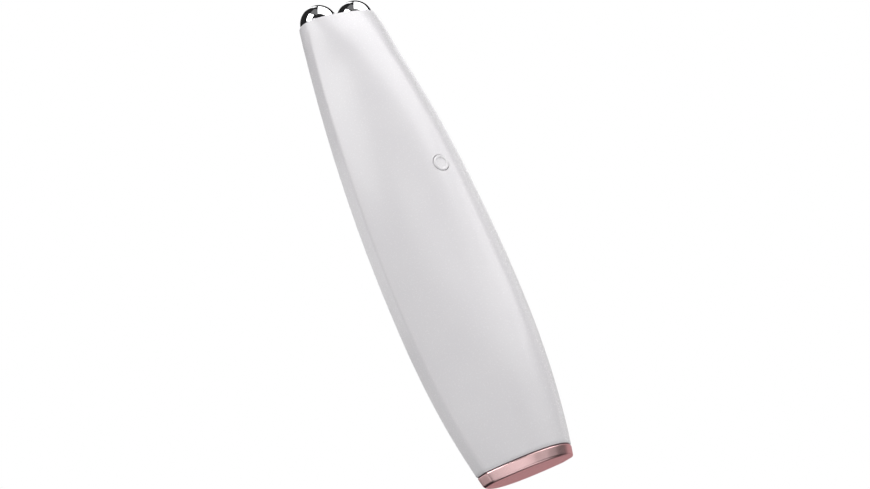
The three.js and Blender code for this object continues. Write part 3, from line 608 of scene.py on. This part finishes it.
def make_charge_socket(material):
    """A stadium tube along the depth: back wall, outside, rounded lip and inside down to its floor."""
    half_length, radius, middle = socket_section()
    low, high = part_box("charge_socket")
    back, mouth = low.y / MM, high.y / MM
    floor, lip = back + SOCKET_BACK_WALL, SOCKET_LIP
    rows = [
        (0, back, 0), (0, back, 1),
        (0, mouth - lip, 1), (LIP_BEND, mouth - LIP_BEND, 1), (lip, mouth, 1),
        (SOCKET_WALL - lip, mouth, 1), (SOCKET_WALL, mouth - lip, 1),
        (SOCKET_WALL, floor, 1), (SOCKET_WALL, floor, 0),
    ]
    angle = np.linspace(0, 2 * np.pi, 2 * TURN_STEPS, endpoint=False)
    rings = []
    for inset, y, share in rows:
        edge = stadium_edge(angle, half_length - inset, radius - inset) * share
        rings.append(np.stack([edge[:, 0], np.full_like(angle, y), middle + edge[:, 1]], -1))
    points = np.stack(rings)
    faces = ring_faces(numbered(points))
    add_piece("charge_socket_smooth", points, faces, "body", "charge_socket", material)


# Noise runs between about these two values, over which a roughness is spread
NOISE_LOW = 0.3
NOISE_HIGH = 0.7

# How far streaks, lines and scratches are drawn out along x, y and z
TURNED_STREAKS = (8, 8, 1)
DRAWN_STREAKS = (6, 6, 1)
WRAP_STREAKS = (1, 1, 8)
CAP_LINES = (4, 4, 0.5)
CAP_GROOVES = (6, 6, 0.6)
BALL_SCRATCHES = (3, 1, 1)

# Widths of the clouds and streaks in a finish's tone, in grains, and the dark streaks' share of the colour
CLOUD_GRAINS = 12
STREAK_GRAINS = 4
STREAK_DARKNESS = 0.9

# Scales of the patterns that start from coordinates in metres
TRACK_SCALE = 260
RIDGE_SCALE = 700
PIT_SCALE = 3200


def shader_of(material):
    """The material's one glossy shader."""
    return material.node_tree.nodes["Principled BSDF"]


def new_material(name, colour, roughness, metallic=0.0):
    """A material with one glossy shader; finishing touches are added by the calls that follow."""
    material = bpy.data.materials.new(name + "_finish")
    material.use_nodes = True
    shader = shader_of(material)
    shader.inputs["Base Color"].default_value = (*colour, 1)
    shader.inputs["Roughness"].default_value = roughness
    shader.inputs["Metallic"].default_value = metallic
    return material


def add_node(material, kind):
    """Adds a node of one of Blender's kinds."""
    return material.node_tree.nodes.new(kind)


def link(material, source, target):
    """Joins one node's output to another's input."""
    material.node_tree.links.new(source, target)


def object_place(material):
    """The Object coordinates, in metres, from which every pattern starts."""
    return add_node(material, "ShaderNodeTexCoord").outputs["Object"]


def object_noise(material, grain, detail, stretch=(1, 1, 1)):
    """Noise on Object coordinates whose features are about grain millimetres across."""
    place = add_node(material, "ShaderNodeMapping")
    place.inputs["Scale"].default_value = [1 / MM / grain / s for s in stretch]
    noise = add_node(material, "ShaderNodeTexNoise")
    noise.inputs["Scale"].default_value = 1.0
    noise.inputs["Detail"].default_value = detail
    link(material, object_place(material), place.inputs["Vector"])
    link(material, place.outputs["Vector"], noise.inputs["Vector"])
    return noise.outputs["Fac"]


def vary_colour(material, pattern, low, high, start=0.35, end=0.65):
    """Runs the base colour between two tones along a pattern."""
    ramp = add_node(material, "ShaderNodeValToRGB")
    first, last = ramp.color_ramp.elements
    first.position, first.color = start, (*low, 1)
    last.position, last.color = end, (*high, 1)
    link(material, pattern, ramp.inputs["Fac"])
    link(material, ramp.outputs["Color"], shader_of(material).inputs["Base Color"])


def vary_roughness(material, pattern, low, high):
    """Runs the roughness between two values along a pattern."""
    span = add_node(material, "ShaderNodeMapRange")
    span.inputs["From Min"].default_value = NOISE_LOW
    span.inputs["From Max"].default_value = NOISE_HIGH
    span.inputs["To Min"].default_value = low
    span.inputs["To Max"].default_value = high
    link(material, pattern, span.inputs["Value"])
    link(material, span.outputs["Result"], shader_of(material).inputs["Roughness"])


def add_bump(material, pattern, height, strength):
    """Raises the surface by a pattern whose full height is given in millimetres."""
    bump = add_node(material, "ShaderNodeBump")
    bump.inputs["Strength"].default_value = strength
    bump.inputs["Distance"].default_value = height * MM
    link(material, pattern, bump.inputs["Height"])
    link(material, bump.outputs["Normal"], shader_of(material).inputs["Normal"])


def shell_plastic():
    """Satin-gloss off-white moulding: even tone, very fine grain in the gloss and a faint moulded ripple."""
    material = new_material("shell_plastic", (0.78, 0.765, 0.785), 0.34)
    vary_colour(material, object_noise(material, 14, 2), (0.775, 0.758, 0.78), (0.79, 0.774, 0.793))
    vary_roughness(material, object_noise(material, 0.35, 4), 0.22, 0.29)
    add_bump(material, object_noise(material, 0.5, 3), 0.004, 0.35)
    return material


def button_plastic():
    """The shell's plastic, a little paler and a little less glossy."""
    material = new_material("button_plastic", (0.8, 0.785, 0.8), 0.28)
    vary_colour(material, object_noise(material, 4, 2), (0.795, 0.778, 0.795), (0.81, 0.795, 0.81))
    vary_roughness(material, object_noise(material, 0.3, 4), 0.24, 0.32)
    add_bump(material, object_noise(material, 0.4, 3), 0.003, 0.3)
    return material


def rose_gold():
    """Anodised metal: a pink tone with fine turning lines along the cap's edge."""
    material = new_material("rose_gold_metal", (0.85, 0.575, 0.575), 0.3, 1.0)
    shader_of(material).inputs["Specular Tint"].default_value = (0.93, 0.55, 0.57, 1)
    vary_colour(material, object_noise(material, 3, 3), (0.84, 0.565, 0.565), (0.86, 0.585, 0.585))
    vary_roughness(material, object_noise(material, 0.12, 3, CAP_LINES), 0.27, 0.36)
    add_bump(material, object_noise(material, 0.15, 2, CAP_GROOVES), 0.001, 0.25)
    return material


def ball_chrome():
    """Polished plating with hairline wear that only the gloss shows."""
    material = new_material("ball_chrome", (0.93, 0.93, 0.94), 0.03, 1.0)
    vary_colour(material, object_noise(material, 2, 2), (0.92, 0.92, 0.93), (0.94, 0.94, 0.95))
    vary_roughness(material, object_noise(material, 0.25, 5, BALL_SCRATCHES), 0.015, 0.045)
    return material


def moulded(name, colour, tone, grain=0.3, rough=(0.42, 0.58), relief=0.006):
    """Plain moulded plastic, rubber or film: tone in broad clouds, and a fine grain in gloss and relief."""
    material = new_material(name, colour, rough[0])
    darker = tuple(c * (1 - tone) for c in colour)
    lighter = tuple(min(1, c * (1 + tone)) for c in colour)
    vary_colour(material, object_noise(material, grain * CLOUD_GRAINS, 3), darker, lighter)
    vary_roughness(material, object_noise(material, grain, 4), *rough)
    add_bump(material, object_noise(material, grain, 3), relief, 0.5)
    return material


def worked_metal(name, colour, rough, stretch, grain=0.1):
    """Drawn, rolled or turned metal: streaks along one direction in tone, gloss and relief."""
    material = new_material(name, colour, rough[0], 1.0)
    darker = tuple(c * STREAK_DARKNESS for c in colour)
    vary_colour(material, object_noise(material, grain * STREAK_GRAINS, 3, stretch), darker, colour)
    vary_roughness(material, object_noise(material, grain, 3, stretch), *rough)
    add_bump(material, object_noise(material, grain, 2, stretch), 0.002, 0.4)
    return material


def circuit_board():
    """Green solder mask over a mesh of copper tracks that shows as slightly lighter, raised lanes."""
    material = new_material("circuit_board", (0.02, 0.13, 0.06), 0.35)
    upright = add_node(material, "ShaderNodeMapping")
    upright.inputs["Rotation"].default_value = (math.radians(90), 0, 0)
    tracks = add_node(material, "ShaderNodeTexBrick")
    tracks.inputs["Scale"].default_value = TRACK_SCALE
    tracks.inputs["Mortar Size"].default_value = 0.04
    tracks.inputs["Color1"].default_value = (0.02, 0.12, 0.055, 1)
    tracks.inputs["Color2"].default_value = (0.025, 0.14, 0.065, 1)
    tracks.inputs["Mortar"].default_value = (0.05, 0.24, 0.1, 1)
    link(material, object_place(material), upright.inputs["Vector"])
    link(material, upright.outputs["Vector"], tracks.inputs["Vector"])
    link(material, tracks.outputs["Color"], shader_of(material).inputs["Base Color"])
    vary_roughness(material, object_noise(material, 0.4, 3), 0.3, 0.42)
    add_bump(material, tracks.outputs["Fac"], 0.02, 0.6)
    return material


def coil_copper():
    """Enamelled wire wound round the coil's axis: close ridges in rings, with painted shade darkening the
    grooves between the windings.
    """
    material = new_material("coil_copper", (0.72, 0.33, 0.16), 0.3, 1.0)
    ridges = add_node(material, "ShaderNodeTexWave")
    ridges.bands_direction = "Y"
    ridges.inputs["Scale"].default_value = RIDGE_SCALE
    ridges.inputs["Distortion"].default_value = 0.4
    link(material, object_place(material), ridges.inputs["Vector"])
    # Painted shade: the colour runs darker into the grooves between the windings, along the same bands that
    # sink the relief there.
    vary_colour(material, ridges.outputs["Fac"], (0.42, 0.17, 0.08), (0.78, 0.38, 0.19), 0.1, 0.7)
    vary_roughness(material, object_noise(material, 0.2, 3), 0.25, 0.4)
    add_bump(material, ridges.outputs["Fac"], 0.05, 0.7)
    return material


def foam():
    """Closed-cell foam: small pits, with painted shade darkening their bottoms."""
    material = new_material("foam", (0.16, 0.165, 0.17), 0.9)
    cells = add_node(material, "ShaderNodeTexVoronoi")
    cells.inputs["Scale"].default_value = PIT_SCALE
    link(material, object_place(material), cells.inputs["Vector"])
    # Painted shade: the colour runs darker towards each pit's middle, where the same pattern sinks the
    # relief deepest.
    vary_colour(material, cells.outputs["Distance"], (0.1, 0.102, 0.105), (0.19, 0.195, 0.2), 0.1, 0.5)
    vary_roughness(material, object_noise(material, 0.5, 3), 0.85, 0.95)
    add_bump(material, cells.outputs["Distance"], 0.06, 0.7)
    return material


def make_finishes():
    """One material for each of the record's slots."""
    return {
        "shell_white": shell_plastic(),
        "button_white": button_plastic(),
        "rose_gold": rose_gold(),
        "ball_chrome": ball_chrome(),
        "seal_rubber": moulded("seal_rubber", (0.07, 0.035, 0.045), 0.12, 0.2, (0.55, 0.7)),
        "frame_plastic": moulded("frame_plastic", (0.46, 0.47, 0.5), 0.05),
        "circuit_board": circuit_board(),
        "bush_brass": worked_metal("bush_brass", (0.72, 0.5, 0.2), (0.22, 0.36), TURNED_STREAKS),
        "steel": worked_metal("steel", (0.56, 0.565, 0.58), (0.24, 0.38), DRAWN_STREAKS),
        "black_plastic": moulded("black_plastic", (0.02, 0.021, 0.024), 0.15, 0.25, (0.35, 0.5)),
        "coil_copper": coil_copper(),
        "amber_film": moulded("amber_film", (0.5, 0.22, 0.05), 0.12, 0.6, (0.3, 0.42), 0.004),
        "lamp_lens": moulded("lamp_lens", (0.85, 0.87, 0.82), 0.03, 0.4, (0.12, 0.22), 0.002),
        "cell_wrap": worked_metal("cell_wrap", (0.08, 0.24, 0.48), (0.3, 0.42), WRAP_STREAKS, 0.3),
        "foam": foam(),
        "red_lead": moulded("red_lead", (0.42, 0.02, 0.02), 0.1, 0.3, (0.35, 0.5)),
        "black_lead": moulded("black_lead", (0.015, 0.015, 0.017), 0.15, 0.3, (0.35, 0.5)),
    }


def finish_nodes(finishes):
    """Gives every carried-over node the finish that its packed material names."""
    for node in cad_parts.values():
        for place in node.material_slots:
            place.material = finishes[place.material.name.split(".")[0]]


# Camera, worked out from the photograph: what it aims at and its distance in millimetres, its turns in
# degrees, its lens and sensor in millimetres, its shift as shares of the picture's width, and the nearest
# distance that it sees, in metres
AIM = (0, 0, 65)
CAMERA_DISTANCE = 485.65
CAMERA_TURN = 37.164
CAMERA_LIFT = -13.989
CAMERA_ROLL = -23.104
LENS_LENGTH = 78.03
SENSOR_WIDTH = 36
SHIFT = (0.00558, -0.00571)
NEAREST_SEEN = 0.01


def studio_axes():
    """The picture's right, its top and the way back to the camera, as directions beside the pen."""
    turn, lift, roll = (math.radians(a) for a in (CAMERA_TURN, CAMERA_LIFT, CAMERA_ROLL))
    back = Vector((-math.sin(turn) * math.cos(lift), -math.cos(turn) * math.cos(lift), math.sin(lift)))
    level = Vector((math.cos(turn), -math.sin(turn), 0))
    upright = level.cross(-back)
    right = math.cos(roll) * level + math.sin(roll) * upright
    top = -math.sin(roll) * level + math.cos(roll) * upright
    return Matrix((right, top, back)).transposed()


def place_on_axes(obj, axes, place):
    """Turns an object to the columns of a 3 x 3 matrix and sets it at a place in metres."""
    obj.matrix_world = Matrix.Translation(place) @ axes.to_4x4()
    bpy.context.scene.collection.objects.link(obj)


def make_camera():
    """The photograph's camera, on a line through the point that it aims at."""
    axes = studio_axes()
    data = bpy.data.cameras.new("camera")
    data.sensor_width = SENSOR_WIDTH
    data.lens = LENS_LENGTH
    data.shift_x, data.shift_y = SHIFT
    data.clip_start = NEAREST_SEEN
    camera = bpy.data.objects.new("camera", data)
    place_on_axes(camera, axes, (Vector(AIM) + CAMERA_DISTANCE * axes.col[2]) * MM)
    bpy.context.scene.camera = camera


# Soft boxes round the balls: azimuth from the camera towards the picture's right and elevation towards its
# top, in degrees, width and height in metres at a metre's distance, and brightness
LIGHTS = {
    "front_box": (-3, -11, (1.65, 0.4), 1.17),
    "right_box": (54, 3, (0.5, 0.4), 0.8),
    "far_right_box": (84, 6, (0.5, 0.35), 0.45),
    "side_card": (118, 4, (0.5, 0.5), 0.13),
    "high_right_box": (50, 26, (0.9, 0.3), 1.8),
    "high_far_right_box": (101, 27, (0.7, 0.4), 2.0),
    "low_strip": (40, -46, (1.6, 0.25), 2.0),
    "front_high_box": (-6, 22, (0.95, 0.25), 1.7),
    "left_box": (-62, 31, (0.6, 0.66), 4.3),
    "back_left_box": (-113, -13, (0.6, 0.3), 1.6),
    "low_left_box": (-86, -36, (1.5, 0.32), 1.0),
    "back_box": (172, -8, (1.5, 1.3), 0.6),
    "back_card": (-178, 12, (0.7, 0.4), 0.5),
    "back_left_strip": (-158, 41, (0.18, 0.6), 1.3),
    "grey_card": (-46, 69, (0.75, 0.6), 0.16),
}
# The overhead box lies level, a metre above the balls along the picture's top: its left, right, back and
# front edges, in metres from the balls
OVERHEAD_EDGES = (-0.09, 1.1, -0.7, 0.6)
OVERHEAD_BRIGHTNESS = 2.35
# Grey of the room between the soft boxes
SURROUND = 0.02

# Floor and its own lamp, with widths and heights in metres
FLOOR_HALF_WIDTH = 6.0
FLOOR_HEIGHT = -1.1
FLOOR_LAMP_WIDTH = 14.0
FLOOR_LAMP_HEIGHT = -0.4
FLOOR_LAMP_BRIGHTNESS = 0.85


def new_lamp(name, size, brightness):
    """A rectangular lamp that the camera doesn't see, whose power follows its area and brightness."""
    data = bpy.data.lights.new(name, "AREA")
    data.shape = "RECTANGLE"
    data.size, data.size_y = size
    data.energy = math.pi * size[0] * size[1] * brightness
    lamp = bpy.data.objects.new(name, data)
    lamp.visible_camera = False
    return lamp


def place_lamp(lamp, place, turn):
    """Sets a lamp at a place from the balls, turned, both along the studio's axes."""
    axes = studio_axes()
    middle = Vector((0, 0, BALL_HEIGHT)) * MM
    place_on_axes(lamp, axes @ turn, middle + axes @ place)


def light_balls():
    """Soft boxes a metre from the balls that face them, and a level one overhead."""
    for name, (azimuth, elevation, size, brightness) in LIGHTS.items():
        a, e = math.radians(azimuth), math.radians(elevation)
        outward = Vector((math.sin(a) * math.cos(e), math.sin(e), math.cos(a) * math.cos(e)))
        across = Vector((0, 1, 0)).cross(outward).normalized()
        turn = Matrix((across, outward.cross(across), outward)).transposed()
        place_lamp(new_lamp(name, size, brightness), outward, turn)
    left, right, rear, front = OVERHEAD_EDGES
    overhead = new_lamp("overhead_box", (right - left, front - rear), OVERHEAD_BRIGHTNESS)
    face_down = Matrix(((1, 0, 0), (0, 0, 1), (0, -1, 0)))
    place_lamp(overhead, Vector(((left + right) / 2, 1, (rear + front) / 2)), face_down)


def make_surroundings():
    """White backdrop for the eye, and a dim grey surround for the surfaces."""
    world = bpy.data.worlds.new("studio")
    bpy.context.scene.world = world
    world.use_nodes = True
    nodes, links = world.node_tree.nodes, world.node_tree.links
    nodes.clear()
    surround = nodes.new("ShaderNodeBackground")
    surround.inputs["Color"].default_value = (SURROUND, SURROUND, SURROUND, 1)
    backdrop = nodes.new("ShaderNodeBackground")
    backdrop.inputs["Color"].default_value = (1, 1, 1, 1)
    path = nodes.new("ShaderNodeLightPath")
    mix = nodes.new("ShaderNodeMixShader")
    output = nodes.new("ShaderNodeOutputWorld")
    links.new(path.outputs["Is Camera Ray"], mix.inputs["Fac"])
    links.new(surround.outputs["Background"], mix.inputs[1])
    links.new(backdrop.outputs["Background"], mix.inputs[2])
    links.new(mix.outputs["Shader"], output.inputs["Surface"])


def light_floor():
    """A wide lamp below the pen that shines straight down, so that it lights the floor alone."""
    lamp = new_lamp("floor_lamp", (FLOOR_LAMP_WIDTH, FLOOR_LAMP_WIDTH), FLOOR_LAMP_BRIGHTNESS)
    lamp.location.z = FLOOR_LAMP_HEIGHT
    bpy.context.scene.collection.objects.link(lamp)


def make_floor():
    """A wide pale floor, below all that the low camera frames, that throws no light on the pen."""
    half, z = FLOOR_HALF_WIDTH, FLOOR_HEIGHT
    mesh = bpy.data.meshes.new("floor")
    corners = [(-half, -half, z), (half, -half, z), (half, half, z), (-half, half, z)]
    mesh.from_pydata(corners, [], [(0, 1, 2, 3)])
    material = new_material("floor_paper", (0.86, 0.86, 0.86), 0.8)
    vary_roughness(material, object_noise(material, 2, 3), 0.75, 0.85)
    mesh.materials.append(material)
    floor = bpy.data.objects.new("floor", mesh)
    floor.visible_diffuse = False
    floor.visible_glossy = False
    bpy.context.scene.collection.objects.link(floor)


def set_tones():
    """Plain display colours, without a film look."""
    settings = bpy.context.scene.view_settings
    settings.view_transform = "Standard"
    settings.look = "None"


make_camera()
finishes = make_finishes()
finish_nodes(finishes)
make_front_shell(finishes["shell_white"])
make_rear_shell(finishes["shell_white"])
make_end_cap(finishes["rose_gold"])
make_cap_gasket(finishes["seal_rubber"])
make_ball("left_ball", -BALL_X, finishes["ball_chrome"])
make_ball("right_ball", BALL_X, finishes["ball_chrome"])
make_button(finishes["button_white"])
make_charge_socket(finishes["steel"])
make_surroundings()
light_balls()
light_floor()
make_floor()
set_tones()
